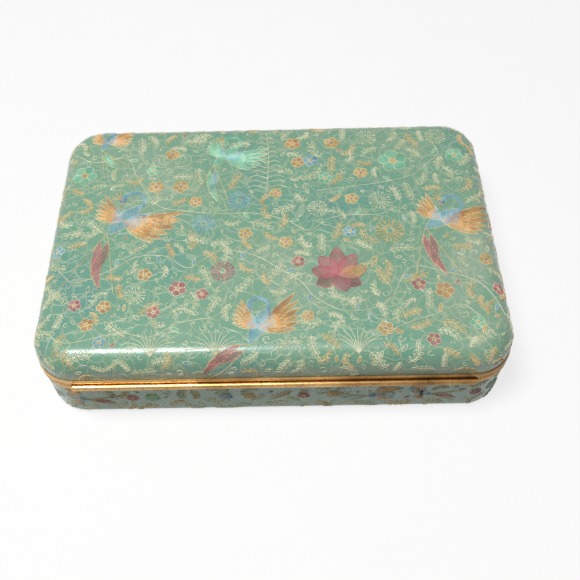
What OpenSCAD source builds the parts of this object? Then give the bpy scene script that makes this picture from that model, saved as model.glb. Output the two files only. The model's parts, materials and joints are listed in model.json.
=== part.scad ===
// Brocade keepsake case: a board box and lid covered in silk brocade, with brass rims,
// a long brass hinge, a sprung brass clasp, and a satin tray with ring rolls inside.
// Origin: middle of the underside. +Z up, +X along the hinge, the hinge on the -Y side.

/* [Box] */
// Width over the brocade, along the hinge
box_w = 190; // [160:1:220]
// Depth over the brocade, from the hinge side to the clasp side
box_d = 127; // [115:1:150]
// Height of the parting line above the table
base_h = 26; // [24:0.5:40]
// Height of the lid from the parting line to the edge of its padded top
lid_h = 16.4; // [15.5:0.1:24]
// Extra rise of the padded top at its middle
crown = 0.8; // [0.2:0.1:3]
// How far in from the rounded shoulder the top keeps rising
crown_run = 30; // [16:1:40]
// Radius of the upright corners, in plan
corner_r = 16.3; // [13:0.1:24]
// Radius of the lid's padded shoulder
shoulder_r = 8.5; // [7:0.1:9]
// Radius of the lower edge of the base
foot_r = 2.9; // [1.5:0.1:3]

/* [Boards and cloth] */
// Thickness of the brocade with its paper backing
cover_t = 0.6; // [0.4:0.1:0.9]
// Width of the brocade turned under the base
turn_in = 12; // [9:1:20]
// Thickness of the cloth panel under the base
under_t = 0.4; // [0.3:0.1:0.8]
// How far the cloth panel stays in from the edge
under_in = 6; // [4:0.5:8]
// Thickness of the wall board
wall_t = 3; // [2:0.1:4]
// Thickness of the floor board
floor_t = 2.4; // [2:0.1:4]
// Thickness of the lid's top board
lid_board_t = 2.4; // [1.6:0.1:3]
// Thickness of the satin-covered lining card
lining_t = 1.2; // [0.8:0.1:2]
// Thickness of the padded satin floor
pad_t = 1.8; // [1:0.1:3]

/* [Brass rims] */
// Height of the rim's rounded outer face
rim_h = 3.3; // [2.6:0.1:4.2]
// How far the rim stands proud of the brocade
rim_proud = 0.65; // [0.4:0.05:0.9]
// Thickness of the rim's sheet
rim_t = 0.5; // [0.4:0.05:0.8]
// Depth of the rim's inner leg
rim_leg = 2.5; // [1.5:0.1:3]
// Gap between the two rims
part_gap = 0.6; // [0.6:0.05:0.8]

/* [Hinge] */
// Outer diameter of the barrel
barrel_d = 2.7; // [2.4:0.1:2.8]
// Distance of the barrel's axis from the brocade
barrel_out = 1.4; // [1.35:0.05:1.6]
// Length of the barrel with the pin's heads
barrel_l = 160; // [80:1:160]
// Number of knuckles, an odd number
knuckles = 17; // [9:2:25]
// Diameter of the pin
pin_d = 1.2; // [1:0.1:1.5]
// Thickness of one leaf
leaf_t = 0.25; // [0.15:0.05:0.25]
// Thickness of the satin strip over the hinge, inside
strip_t = 0.4; // [0.3:0.1:0.6]
// Length of the satin strip
strip_l = 150; // [60:1:150]

/* [Tray] */
// Thickness of a satin-covered divider
divider_t = 2.4; // [1.6:0.1:4]
// Depth of the dividers' top edges below the parting line
divider_drop = 5.8; // [5:0.1:8]
// Distance of the two cross dividers from the middle
column_x = 31; // [24:0.5:40]
// Place of the long divider, towards the clasp
row_y = 5; // [-8:0.5:16]
// Number of ring rolls
rolls = 5; // [5:1:5]
// Gap between two ring rolls
roll_gap = 0.3; // [0.2:0.1:1]
// How much of each roll is cut away where it rests
roll_flat = 2.5; // [1:0.1:4]
// Thickness of the card under the rolls
roll_card_t = 1; // [0.8:0.1:2]

/* [Mirror] */
// Thickness of the satin-covered panel in the lid
panel_t = 1.2; // [0.8:0.1:1.4]
// Width of the mirror
mirror_w = 124; // [80:1:140]
// Depth of the mirror
mirror_d = 74; // [50:1:90]
// Thickness of the mirror
mirror_t = 1.8; // [1.2:0.1:1.8]
// Radius of the mirror's corners
mirror_r = 6; // [2:0.5:12]
// Width of the mirror's brass frame outside the glass
frame_b = 1.6; // [1:0.1:4]
// How far the frame's lip covers the glass
frame_lip = 1; // [0.6:0.1:3]
// Thickness of the frame's lip
frame_t = 0.4; // [0.3:0.1:0.5]

/* [Clasp] */
// Width of the sprung tab
tab_w = 12; // [9:0.5:24]
// Thickness of the tab
tab_t = 0.5; // [0.4:0.05:0.8]
// How far the tab reaches below the parting line
tab_drop = 8.6; // [8.5:0.1:10]
// Depth of the stud below the parting line
stud_drop = 5.9; // [5.9:0.1:6.4]
// Radius of the stud's neck
stud_r = 1.3; // [1:0.1:1.5]
// Radius of the thumb roll at the tab's foot
thumb_r = 0.8; // [0.6:0.1:1]
// Distance between the two rivets
rivet_span = 7; // [5:0.5:7]
// Radius of a rivet's shank
rivet_r = 0.6; // [0.4:0.1:0.8]

/* [Hidden] */
fit = 0.05;         // looseness between two pieces that touch along a curve
body_gap = 0.3;     // least gap between the lid's pieces and the base's
over = 1;           // how far a cutter runs past what it cuts
corner_steps = 12;  // facets of a soft form round one corner
round_fn = 96;      // facets of a round piece

part_z = base_h;
edge_z = base_h + lid_h;
cover_z = under_t;                              // underside of the turned-in brocade
floor_z = cover_z + cover_t;                    // underside of the floor board
floor_top = floor_z + floor_t;
pad_top = floor_top + pad_t;
wall_out = cover_t + fit;                       // outer face of the wall board
wall_in = wall_out + wall_t;                    // inner face of the wall board
lining_out = wall_in + fit;
lining_in = lining_out + lining_t;              // the tray's walls
rim_top = part_z - part_gap / 2;                // upper face of the base's rim
board_top = rim_top - rim_t;                    // the wall board and the brocade stop under the rim
lining_top = board_top - rim_leg - fit;
lid_foot = 2 * part_z - board_top;              // the same edge, mirrored in the lid
wall_foot = max(floor_top, cover_z + foot_r);   // the wall board clears the rounded lower edge
shoulder_in = shoulder_r - cover_t;             // the shoulder's radius inside the brocade
lid_step = 0.6;
lid_wall_top = edge_z - shoulder_r + lid_step;
lid_board_top = lid_wall_top + lid_board_t;
lid_board_in = shoulder_r - sqrt(pow(shoulder_in, 2) - pow(lid_step + lid_board_t, 2)) + 0.2;
panel_z = lid_wall_top - fit - panel_t;         // underside of the lid's satin panel
glass_z = panel_z - mirror_t;
frame_z = glass_z - frame_t;

axis_y = -box_d / 2 - barrel_out;               // the hinge's axis, at the height of the parting line
barrel_r = barrel_d / 2;
knuckle_fit = 0.03;                             // the pin's clearance in its knuckles
knuckle_end = 0.05;                             // end clearance of each knuckle
head_t = 0.6;
knuckle_l = (barrel_l - 2 * head_t) / knuckles;
leaf_start = barrel_r + 0.35;                   // the leaves' strips start clear of the barrel
leaf_end = barrel_out + wall_in;                // and stop at the wall board's inner face
groove_r = barrel_r + 0.15;                     // hollow in the rims behind the barrel

inner_w = box_w - 2 * lining_in;
inner_d = box_d - 2 * lining_in;
tray_top = part_z - divider_drop;
strip_reach = divider_drop - 0.4;               // the strip stays above the dividers
strip_face = -box_d / 2 + lining_in;            // the linings' inner faces, on the hinge side
slot_z = (pad_top + tray_top) / 2;              // where the crossing dividers meet
slot_w = divider_t + 0.2;
roll_back = strip_face + strip_t + body_gap;    // the rolls fill the space behind the long divider
roll_pitch = (row_y - divider_t / 2 - roll_back) / rolls;
roll_r = (roll_pitch - roll_gap) / 2;
roll_l = 2 * column_x - divider_t - 2 * roll_gap;
roll_bed = pad_top + roll_card_t;

tab_in = rim_proud + body_gap;                  // the tab's back, where it hangs past the base's rim
tab_out = tab_in + tab_t;
tab_top = part_z + part_gap / 2 + rim_h;
rivet_z = part_z + part_gap / 2 + rim_h / 2;
stud_tip = tab_out - 0.05;

// A rectangle with round corners, about the middle
module round_rect(w, d, r) {
    square([w - 2 * r, d], center = true);
    square([w, d - 2 * r], center = true);
    for (x = [-1, 1], y = [-1, 1])
        translate([x * (w / 2 - r), y * (d / 2 - r)])
            circle(r, $fn = round_fn);
}

// The box's outline, drawn in from the brocade's outer face
module plan(inset) {
    round_rect(box_w - 2 * inset, box_d - 2 * inset, max(corner_r - inset, fit));
}

module slab(inset, low, high) {
    translate([0, 0, low])
        linear_extrude(high - low)
            plan(inset);
}

// A wall that follows the outline
module band(outside, inside, low, high) {
    difference() {
        slab(outside, low, high);
        slab(inside, low - over, high + over);
    }
}

// Sweeps a section round the box. The section's x is the distance out from the brocade.
module swept_round() {
    straight_w = box_w - 2 * corner_r;
    straight_d = box_d - 2 * corner_r;
    for (turn = [0, 180]) rotate([0, 0, turn]) {
        translate([box_w / 2, straight_d / 2, 0]) rotate([90, 0, 0])
            linear_extrude(straight_d) children();
        rotate([0, 0, 90]) translate([box_d / 2, straight_w / 2, 0]) rotate([90, 0, 0])
            linear_extrude(straight_w) children();
        translate([straight_w / 2, straight_d / 2, 0])
            rotate_extrude(angle = 90, $fn = round_fn) translate([corner_r, 0]) children();
        translate([-straight_w / 2, straight_d / 2, 0]) rotate([0, 0, 90])
            rotate_extrude(angle = 90, $fn = round_fn) translate([corner_r, 0]) children();
    }
}

// Points round the box at one height, drawn in by an inset
function ring(inset, z) =
    let (r = max(corner_r - inset, 0.5),
         x = box_w / 2 - inset - r,
         y = box_d / 2 - inset - r)
    [for (corner = [0:3], step = [0:corner_steps])
        let (turn = 90 * (corner + step / corner_steps))
        [(corner == 0 || corner == 3 ? x : -x) + r * cos(turn),
         (corner < 2 ? y : -y) + r * sin(turn), z]];

// A closed form whose skin runs through rings, each an [inset, height] from the bottom up
module lofted(slices) {
    n = 4 * (corner_steps + 1);
    last = len(slices) - 1;
    polyhedron(
        points = [for (slice = slices) each ring(slice[0], slice[1])],
        faces = concat(
            [[for (i = [0:n - 1]) i]],
            [for (k = [0:last - 1], i = [0:n - 1]) [k * n + i, k * n + n + i, k * n + n + (i + 1) % n]],
            [for (k = [0:last - 1], i = [0:n - 1])
                [k * n + i, k * n + n + (i + 1) % n, k * n + (i + 1) % n]],
            [[for (i = [n - 1:-1:0]) last * n + i]]));
}

// Slices of the padded lid: its wall, its round shoulder and its crown, less a skin
function lid_slices(skin) = concat(
    [[skin, lid_foot]],
    [for (turn = [0:15:90])
        [shoulder_r - (shoulder_r - skin) * cos(turn),
         edge_z - shoulder_r + (shoulder_r - skin) * sin(turn)]],
    [for (run = [1 / 3, 2 / 3, 1])
        [shoulder_r + run * crown_run,
         edge_z - skin + crown * (1 - pow(1 - run, 2))]]);

// Slices of the base: its rounded lower edge and its wall, less a skin
function base_slices(skin, top) = concat(
    [for (turn = [90:-18:0])
        [foot_r - (foot_r - skin) * cos(turn),
         cover_z + foot_r - (foot_r - skin) * sin(turn)]],
    [[skin, top]]);

// Section of the base's rim: a rounded face outside, a flat top, a short leg inside
module rim_section() {
    edge = 0.2;
    half = rim_h / 2;
    bulge = rim_proud - edge;
    arc_r = (half * half + bulge * bulge) / (2 * bulge);
    reach = asin(half / arc_r);
    low = rim_top - rim_h;
    polygon(concat(
        [[0, low]],
        [for (step = [-4:4])
            [rim_proud - arc_r + arc_r * cos(reach * step / 4),
             low + half + arc_r * sin(reach * step / 4)]],
        [[-wall_in - rim_t, rim_top], [-wall_in - rim_t, board_top - rim_leg],
         [-wall_in, board_top - rim_leg], [-wall_in, board_top], [0, board_top]]));
}

// A rim with the hollow that the hinge's barrel lies in
module rim() {
    difference() {
        swept_round() rim_section();
        barrel_rod(groove_r, barrel_l + 2 * body_gap);
    }
}

// A rod along the hinge's axis
module barrel_rod(r, length) {
    translate([-length / 2, axis_y, part_z])
        rotate([0, 90, 0])
            cylinder(r = r, h = length, $fn = round_fn);
}

// The base's own pieces are mirrored in the parting plane to make the lid's
module in_lid() {
    translate([0, 0, part_z]) mirror([0, 0, 1]) translate([0, 0, -part_z]) children();
}

// One leaf with every second knuckle, rolled from the same sheet
module hinge_leaf(first) {
    difference() {
        union() {
            for (i = [first:2:knuckles - 1])
                translate([(i - knuckles / 2) * knuckle_l + knuckle_end, axis_y, 0]) {
                    translate([0, 0, part_z]) rotate([0, 90, 0])
                        cylinder(r = barrel_r, h = knuckle_l - 2 * knuckle_end, $fn = round_fn);
                    translate([0, 0, rim_top])
                        cube([knuckle_l - 2 * knuckle_end, leaf_start + over, leaf_t]);
                }
            translate([-knuckles / 2 * knuckle_l, axis_y + leaf_start, rim_top])
                cube([knuckles * knuckle_l, leaf_end - leaf_start, leaf_t]);
        }
        barrel_rod(pin_d / 2 + knuckle_fit, barrel_l);
    }
}

// A hole or a rod through the clasp side, from one distance out to another
module through_front(x, z, r, from, to) {
    translate([x, box_d / 2 + from, z])
        rotate([-90, 0, 0])
            cylinder(r = r, h = to - from, $fn = round_fn);
}

module rivet_holes(from, to) {
    for (x = [-1, 1] * rivet_span / 2)
        through_front(x, rivet_z, rivet_r + fit, from, to);
}

module bottom_cloth() {
    color("darkolivegreen") slab(under_in, 0, under_t);
}

module base_floor_board() {
    color("rosybrown") slab(foot_r + fit, floor_z, floor_top);
}

module base_wall_board() {
    color("rosybrown") difference() {
        band(wall_out, wall_in, wall_foot, board_top);
        through_front(0, part_z - stud_drop, rivet_r + fit, -wall_in - over, over);
    }
}

module base_cover() {
    color("mediumaquamarine") difference() {
        lofted(base_slices(0, board_top));
        lofted(base_slices(cover_t, board_top + over));
        slab(turn_in, 0, floor_z + over);
        through_front(0, part_z - stud_drop, rivet_r + fit, -wall_out, over);
    }
}

module base_rim() {
    color("goldenrod") rim();
}

module base_wall_lining() {
    color("khaki") band(lining_out, lining_in, floor_top, lining_top);
}

module base_floor_pad() {
    color("khaki") slab(lining_in + fit, floor_top, pad_top);
}

module cross_divider() {
    translate([-divider_t / 2, fit - inner_d / 2, pad_top])
        cube([divider_t, inner_d - 2 * fit, tray_top - pad_top]);
}

module cross_divider_left() {
    color("khaki") translate([-column_x, 0, 0]) cross_divider();
}

module cross_divider_right() {
    color("khaki") difference() {
        translate([column_x, 0, 0]) cross_divider();
        translate([column_x - divider_t, row_y - slot_w / 2, slot_z])
            cube([2 * divider_t, slot_w, tray_top]);
    }
}

module long_divider() {
    left = -column_x + divider_t / 2 + fit;
    color("khaki") difference() {
        translate([left, row_y - divider_t / 2, pad_top])
            cube([inner_w / 2 - fit - left, divider_t, tray_top - pad_top]);
        translate([column_x - slot_w / 2, row_y - divider_t, pad_top - over])
            cube([slot_w, 2 * divider_t, slot_z - pad_top + over]);
    }
}

module ring_roll_card() {
    color("khaki")
        translate([-roll_l / 2, roll_back, pad_top])
            cube([roll_l, rolls * roll_pitch - fit, roll_card_t]);
}

// A satin roll with soft round ends, flat where it is glued down
module ring_roll(i) {
    end_r = roll_r / 2;
    middle = roll_bed + roll_r - roll_flat;
    color("khaki") intersection() {
        translate([-roll_l / 2, roll_back + (i - 0.5) * roll_pitch, middle])
            rotate([0, 90, 0])
                rotate_extrude($fn = round_fn) {
                    square([roll_r - end_r, roll_l]);
                    translate([0, end_r]) square([roll_r, roll_l - 2 * end_r]);
                    for (z = [end_r, roll_l - end_r])
                        intersection() {
                            translate([roll_r - end_r, z]) circle(end_r, $fn = round_fn);
                            translate([0, z - end_r]) square([roll_r, 2 * end_r]);
                        }
                }
        translate([-roll_l, -box_d, roll_bed]) cube([2 * roll_l, 2 * box_d, 2 * roll_r]);
    }
}

module hinge_base_leaf() {
    color("goldenrod") hinge_leaf(0);
}

// The pin, with a domed head at each end of the barrel
module hinge_pin() {
    head_r = barrel_r - 0.1;
    color("goldenrod") {
        barrel_rod(pin_d / 2, barrel_l - head_t);
        for (side = [-1, 1])
            translate([side * (barrel_l / 2 - head_t), axis_y, part_z])
                rotate([0, 90 * side, 0])
                    rotate_extrude($fn = round_fn)
                        polygon(concat([[0, 0]],
                            [for (turn = [0:15:90])
                                [head_r * (0.5 + 0.5 * cos(turn)), head_t * sin(turn)]],
                            [[0, head_t]]));
    }
}

// A satin strip over the hinge, glued to the base's lining and folded up past the lid's
module hinge_strip() {
    low = part_z - strip_reach;
    high = part_z + strip_reach;
    color("khaki")
        translate([-strip_l / 2, strip_face, 0])
            rotate([90, 0, 90])
                linear_extrude(strip_l)
                    polygon([[0, low], [strip_t, low], [strip_t, part_z - 1],
                             [strip_t + body_gap, part_z], [strip_t + body_gap, high],
                             [body_gap, high], [body_gap, part_z + 1 / 4], [0, part_z - 1]]);
}

// A brass stud on the base's wall, riveted through the board
module clasp_stud() {
    flange_r = stud_r + 0.7;
    flange_t = 0.4;
    color("goldenrod") translate([0, box_d / 2, part_z - stud_drop]) rotate([-90, 0, 0]) {
        translate([0, 0, -wall_in]) cylinder(r = rivet_r, h = wall_in + flange_t, $fn = round_fn);
        cylinder(r = flange_r, h = flange_t, $fn = round_fn);
        rotate_extrude($fn = round_fn)
            polygon([[0, 0], [stud_r, 0], [stud_r, stud_tip - 0.3],
                     [stud_r - 0.3, stud_tip - 0.1], [stud_r - 0.7, stud_tip], [0, stud_tip]]);
    }
}

module lid_top_board() {
    color("rosybrown") slab(lid_board_in, lid_wall_top, lid_board_top);
}

module lid_wall_board() {
    color("rosybrown") difference() {
        band(wall_out, wall_in, lid_foot, lid_wall_top);
        rivet_holes(-wall_in - over, over);
    }
}

// Wadding between the lid's top board and the brocade
module lid_wadding() {
    color("linen") difference() {
        lofted(lid_slices(cover_t + fit));
        slab(-over, lid_foot - over, lid_board_top + fit);
    }
}

module lid_cover() {
    color("mediumaquamarine") difference() {
        lofted(lid_slices(0));
        lofted(concat([[cover_t, lid_foot - over]], lid_slices(cover_t)));
        rivet_holes(-wall_out, over);
    }
}

module lid_rim() {
    color("goldenrod") difference() {
        in_lid() rim();
        rivet_holes(-over, over);
    }
}

module lid_wall_lining() {
    color("khaki") band(lining_out, lining_in, lid_foot + rim_leg + fit, panel_z - fit);
}

module lid_panel() {
    color("khaki") slab(lining_out, panel_z, panel_z + panel_t);
}

module mirror_glass() {
    color("lightsteelblue")
        translate([0, 0, glass_z])
            linear_extrude(mirror_t) round_rect(mirror_w, mirror_d, mirror_r);
}

module mirror_frame() {
    grow = 2 * (fit + frame_b);
    color("goldenrod") difference() {
        translate([0, 0, frame_z]) linear_extrude(panel_z - frame_z)
            round_rect(mirror_w + grow, mirror_d + grow, mirror_r + grow / 2);
        translate([0, 0, glass_z]) linear_extrude(mirror_t + over)
            round_rect(mirror_w + 2 * fit, mirror_d + 2 * fit, mirror_r + fit);
        translate([0, 0, frame_z - over]) linear_extrude(mirror_t + over)
            round_rect(mirror_w - 2 * frame_lip, mirror_d - 2 * frame_lip,
                       max(mirror_r - frame_lip, fit));
    }
}

module hinge_lid_leaf() {
    color("goldenrod") in_lid() hinge_leaf(1);
}

// A sprung tab on the lid's rim that snaps over the stud, with a roll for the thumb
module clasp_tab() {
    foot = part_z - tab_drop;
    step = part_z + part_gap / 2 + body_gap;
    color("goldenrod") difference() {
        translate([-tab_w / 2, box_d / 2, 0]) rotate([90, 0, 90]) linear_extrude(tab_w) {
            polygon([[tab_in, foot], [tab_out, foot], [tab_out, tab_top],
                     [rim_proud, tab_top], [rim_proud, step], [tab_in, step]]);
            translate([tab_in + thumb_r, foot]) circle(thumb_r, $fn = round_fn);
        }
        rivet_holes(rim_proud - over, tab_out + over);
        through_front(0, part_z - stud_drop, stud_r + body_gap + fit, tab_in - over, tab_out + over);
    }
}

module clasp_rivets() {
    head_r = rivet_r + 0.5;
    color("goldenrod")
        for (x = [-1, 1] * rivet_span / 2)
            translate([x, box_d / 2, rivet_z]) rotate([-90, 0, 0]) {
                translate([0, 0, -wall_in])
                    cylinder(r = rivet_r, h = wall_in + tab_out + fit, $fn = round_fn);
                translate([0, 0, tab_out])
                    rotate_extrude($fn = round_fn)
                        polygon([[0, 0], [head_r, 0], [head_r - 0.1, 0.25],
                                 [head_r - 0.4, 0.45], [0, 0.55]]);
            }
}

bottom_cloth();
base_floor_board();
base_wall_board();
base_cover();
base_rim();
base_wall_lining();
base_floor_pad();
cross_divider_left();
cross_divider_right();
long_divider();
ring_roll_card();
ring_roll(1);  // ring_roll_1
ring_roll(2);  // ring_roll_2
ring_roll(3);  // ring_roll_3
ring_roll(4);  // ring_roll_4
ring_roll(5);  // ring_roll_5
hinge_base_leaf();
hinge_pin();
hinge_strip();
clasp_stud();
lid_top_board();
lid_wall_board();
lid_wadding();
lid_cover();
lid_rim();
lid_wall_lining();
lid_panel();
mirror_glass();
mirror_frame();
hinge_lid_leaf();
clasp_tab();
clasp_rivets();
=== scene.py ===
# %% [markdown]
# A low keepsake case in green silk brocade: a board box and a padded lid, both edges capped
# with brass, and a long brass hinge on the side that the camera sees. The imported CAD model
# has every solid at its real size, so it is loaded and dressed. The case could be modelled
# again here, but two models soon disagree.

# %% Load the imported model
import json
import math
import random

import bmesh
import bpy
from mathutils import Matrix, Vector


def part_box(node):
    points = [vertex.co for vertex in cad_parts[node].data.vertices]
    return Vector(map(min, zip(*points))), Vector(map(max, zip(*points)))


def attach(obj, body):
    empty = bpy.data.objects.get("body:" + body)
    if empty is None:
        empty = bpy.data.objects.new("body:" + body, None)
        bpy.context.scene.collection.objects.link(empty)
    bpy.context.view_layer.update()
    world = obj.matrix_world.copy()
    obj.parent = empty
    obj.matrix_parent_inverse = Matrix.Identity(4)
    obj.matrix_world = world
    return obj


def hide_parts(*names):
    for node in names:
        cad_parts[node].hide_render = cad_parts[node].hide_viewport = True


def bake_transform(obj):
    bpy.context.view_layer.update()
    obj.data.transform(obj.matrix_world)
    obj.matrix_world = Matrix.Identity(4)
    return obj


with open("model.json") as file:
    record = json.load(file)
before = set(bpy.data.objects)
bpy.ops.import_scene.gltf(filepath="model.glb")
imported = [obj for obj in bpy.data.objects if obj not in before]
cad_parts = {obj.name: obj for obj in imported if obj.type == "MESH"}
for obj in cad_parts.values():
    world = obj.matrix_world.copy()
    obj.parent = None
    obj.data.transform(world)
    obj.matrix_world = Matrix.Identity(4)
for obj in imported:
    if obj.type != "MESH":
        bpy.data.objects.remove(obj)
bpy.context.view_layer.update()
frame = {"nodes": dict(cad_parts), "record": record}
nodes = frame["nodes"]
MM = 0.001


def put(name, data):
    """A new object in the scene."""
    thing = bpy.data.objects.new(name, data)
    bpy.context.scene.collection.objects.link(thing)
    return thing


print("loaded", len(nodes), "nodes")

# %% [markdown]
# A camera can be moved by hand until the picture looks right. This one was solved: a
# rounded box was fitted to the outline in the photograph, which gives distance, turn, tilt
# and lens, so the render and the photograph can be laid on each other.

# %% Camera
ELEVATION = math.radians(54.3955)
TURN = math.radians(1.5891)
ROLL = math.radians(-2.4309)
DISTANCE = 347.4 * MM
AIM = Vector((0, 0, 21.22 * MM))
SENSOR = 36  # sensor width and lens, both in mm
LENS = 48.155
SHIFT_X = 0.0298
SHIFT_Y = -0.0558
NEAREST = 0.01  # nothing closer than this is drawn, in metres

back = Vector((math.sin(TURN) * math.cos(ELEVATION),
               -math.cos(TURN) * math.cos(ELEVATION),
               math.sin(ELEVATION)))
right = (-back).cross(Vector((0, 0, 1))).normalized()
up = right.cross(-back)
across = right * math.cos(ROLL) + up * math.sin(ROLL)
upward = up * math.cos(ROLL) - right * math.sin(ROLL)

camera_data = bpy.data.cameras.new("camera")
camera_data.sensor_width = SENSOR
camera_data.lens = LENS
camera_data.shift_x = SHIFT_X
camera_data.shift_y = SHIFT_Y
camera_data.clip_start = NEAREST
camera = put("camera", camera_data)
camera.matrix_world = Matrix.Translation(AIM + back * DISTANCE) @ Matrix(
    (across, upward, back)).transposed().to_4x4()
bpy.context.scene.camera = camera
bpy.context.scene.view_settings.view_transform = "Standard"
print("camera stands at", tuple(round(v, 3) for v in camera.location))

# %% [markdown]
# Every finish below is a graph of nodes. Built by hand, each would fill a screen; these
# helpers keep it to a dozen lines that read in order. They add nodes, join them and turn
# 0-255 screen colours into the linear values of shaders.

# %% Helpers for materials


def screen(red, green, blue):
    def linear(v):
        v = v / 255
        return v / 12.92 if v <= 0.04045 else ((v + 0.055) / 1.055) ** 2.4
    return (linear(red), linear(green), linear(blue), 1)


class Recipe:
    """The graph of a material or a sky. add() makes a node, and sets or joins its inputs: a
    word is an input's name with _ for a space, and i0, i1 and so on are inputs by number."""

    def __init__(self, owner):
        self.owner = owner
        owner.use_nodes = True
        self.tree = owner.node_tree
        self.tree.nodes.clear()

    def add(self, kind, settings=None, **inputs):
        node = self.tree.nodes.new("ShaderNode" + kind)
        for key, value in (settings or {}).items():
            setattr(node, key, value)
        for key, value in inputs.items():
            key = int(key[1:]) if key[0] == "i" and key[1:].isdigit() else key.replace("_", " ")
            if isinstance(value, bpy.types.NodeSocket):
                self.tree.links.new(value, node.inputs[key])
            else:
                node.inputs[key].default_value = value
        return node

    def ramp(self, value, stops):
        node = self.add("ValToRGB", Fac=value)
        bar = node.color_ramp.elements
        while len(bar) < len(stops):
            bar.new(0.5)
        for element, (place, colour) in zip(bar, stops):
            element.position = place
            element.color = colour
        return node.outputs[0]

    def noise(self, place, scale, detail=2.0):
        return self.add("TexNoise", Vector=place, Scale=scale, Detail=detail).outputs[0]

    def calc(self, operation, first, second=0.0):
        return self.add("Math", {"operation": operation}, i0=first, i1=second).outputs[0]

    def mix(self, share, first, second, kind="MIX"):
        node = self.add("Mix", {"data_type": "RGBA", "blend_type": kind},
                        i0=share, i6=first, i7=second)
        return node.outputs[2]

    def skin(self, **inputs):
        return self.finish(self.add("BsdfPrincipled", **inputs).outputs[0])

    def finish(self, shader, end="OutputMaterial"):
        self.tree.links.new(shader, self.add(end).inputs[0])
        return self.owner


def grey(v):
    return (v, v, v, 1)


print("screen grey 128 is", round(screen(128, 128, 128)[0], 3), "linear")

# %% [markdown]
# The ground of the brocade is glossy silk satin. The green turns teal in patches, and fine
# pale outlines are woven in everywhere. An image would blur close up; noise and cells stay
# sharp. They follow the cloth over the edges by its UV map, 100 mm to one unit.

# %% Brocade ground
PATCHES = 1.7  # scales of the noises and cells, per 100 mm of cloth
BENDS = 9.0
OUTLINES = 17.0
CURLS = 11.0
CURL_RINGS = 40.0
FLECKS = 160.0
FLOATS = 45.0
LINE_SHARE = 0.34  # how pale the woven outlines are


def brocade():
    r = Recipe(bpy.data.materials.new("brocade"))
    cloth = r.add("UVMap", {"uv_map": "cloth"}).outputs[0]
    patches = r.noise(cloth, PATCHES)
    green = r.ramp(patches, [(0.32, screen(88, 148, 136)), (0.46, screen(104, 158, 132)),
                             (0.58, screen(117, 162, 134)), (0.72, screen(142, 172, 148))])
    warp = r.add("TexNoise", Vector=cloth, Scale=BENDS, Detail=1.0)
    bent = r.add("VectorMath", {"operation": "SCALE"}, i0=warp.outputs[1], Scale=0.16)
    bent = r.add("VectorMath", {"operation": "ADD"}, i0=cloth, i1=bent.outputs[0]).outputs[0]
    cells = r.add("TexVoronoi", {"feature": "DISTANCE_TO_EDGE"}, Vector=bent, Scale=OUTLINES)
    outlines = r.ramp(cells.outputs[0], [(0.0, grey(1)), (0.035, grey(0.9)), (0.075, grey(0))])
    curls = r.add("TexVoronoi", {"feature": "F1"}, Vector=bent, Scale=CURLS).outputs[0]
    curls = r.calc("SINE", r.calc("MULTIPLY", curls, CURL_RINGS))
    curls = r.ramp(curls, [(0.78, grey(0)), (0.96, grey(0.55))])
    lines = r.mix(1.0, outlines, curls, "SCREEN")
    share = r.calc("MULTIPLY", lines, LINE_SHARE)
    coloured = r.mix(share, green, screen(206, 208, 168))
    fleck = r.noise(cloth, FLECKS)
    coloured = r.mix(0.5, coloured, r.ramp(fleck, [(0.3, grey(0.72)), (0.65, grey(1.0))]),
                     "MULTIPLY")
    floats = r.add("TexWave", {"wave_type": "BANDS", "bands_direction": "DIAGONAL"},
                   Vector=cloth, Scale=FLOATS, Distortion=1.2).outputs[1]
    relief = r.mix(0.5, r.add("RGBToBW", Color=lines).outputs[0],
                   r.mix(0.35, floats, fleck), "ADD")
    bump = r.add("Bump", Strength=0.5, Distance=0.25 * MM, Height=relief).outputs[0]
    gloss = r.add("MapRange", i0=fleck, i3=0.28, i4=0.44).outputs[0]
    return r.skin(Base_Color=coloured, Roughness=gloss, Normal=bump, Sheen_Weight=0.2,
                  Sheen_Roughness=0.4, Specular_IOR_Level=0.6, Coat_Weight=0.5,
                  Coat_Roughness=0.16)


BY_SLOT = {"brocade": brocade()}
print("made", BY_SLOT["brocade"].name)

# %% [markdown]
# The figures' wefts are thicker than the ground. They will be real threads, so their finish
# needs only a colour that drifts along the cloth and ribs where the silk is tied down. One
# function makes all the colours.

# %% Silk colours
DRIFT = 180.0  # scales of the slow drift and of the fine ribs
RIBS = 2600.0


def silk(name, colour, dark):
    r = Recipe(bpy.data.materials.new(name))
    place = r.add("TexCoord").outputs[3]
    broad = r.noise(place, DRIFT)
    tint = r.ramp(broad, [(0.3, screen(*dark)), (0.6, screen(*colour))])
    fine = r.noise(place, RIBS, 1.0)
    tint = r.mix(0.4, tint, r.ramp(fine, [(0.35, grey(0.6)), (0.65, grey(1))]), "MULTIPLY")
    bump = r.add("Bump", Strength=0.35, Distance=0.1 * MM, Height=fine).outputs[0]
    return r.skin(Base_Color=tint, Roughness=0.38, Normal=bump, Sheen_Weight=0.2,
                  Specular_IOR_Level=0.6)


SILKS = {name: silk("silk_" + name, colour, dark) for name, colour, dark in [
    ("cream", (236, 234, 200), (200, 206, 166)),
    ("straw", (238, 212, 158), (206, 180, 122)),
    ("gold", (240, 198, 128), (214, 164, 92)),
    ("orange", (236, 176, 104), (204, 132, 78)),
    ("mint", (166, 230, 194), (126, 196, 164)),
    ("sky", (160, 206, 224), (106, 160, 186)),
    ("rose", (214, 122, 132), (176, 88, 100)),
    ("maroon", (184, 118, 118), (142, 86, 90))]}
print("silks:", ", ".join(SILKS))
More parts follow.
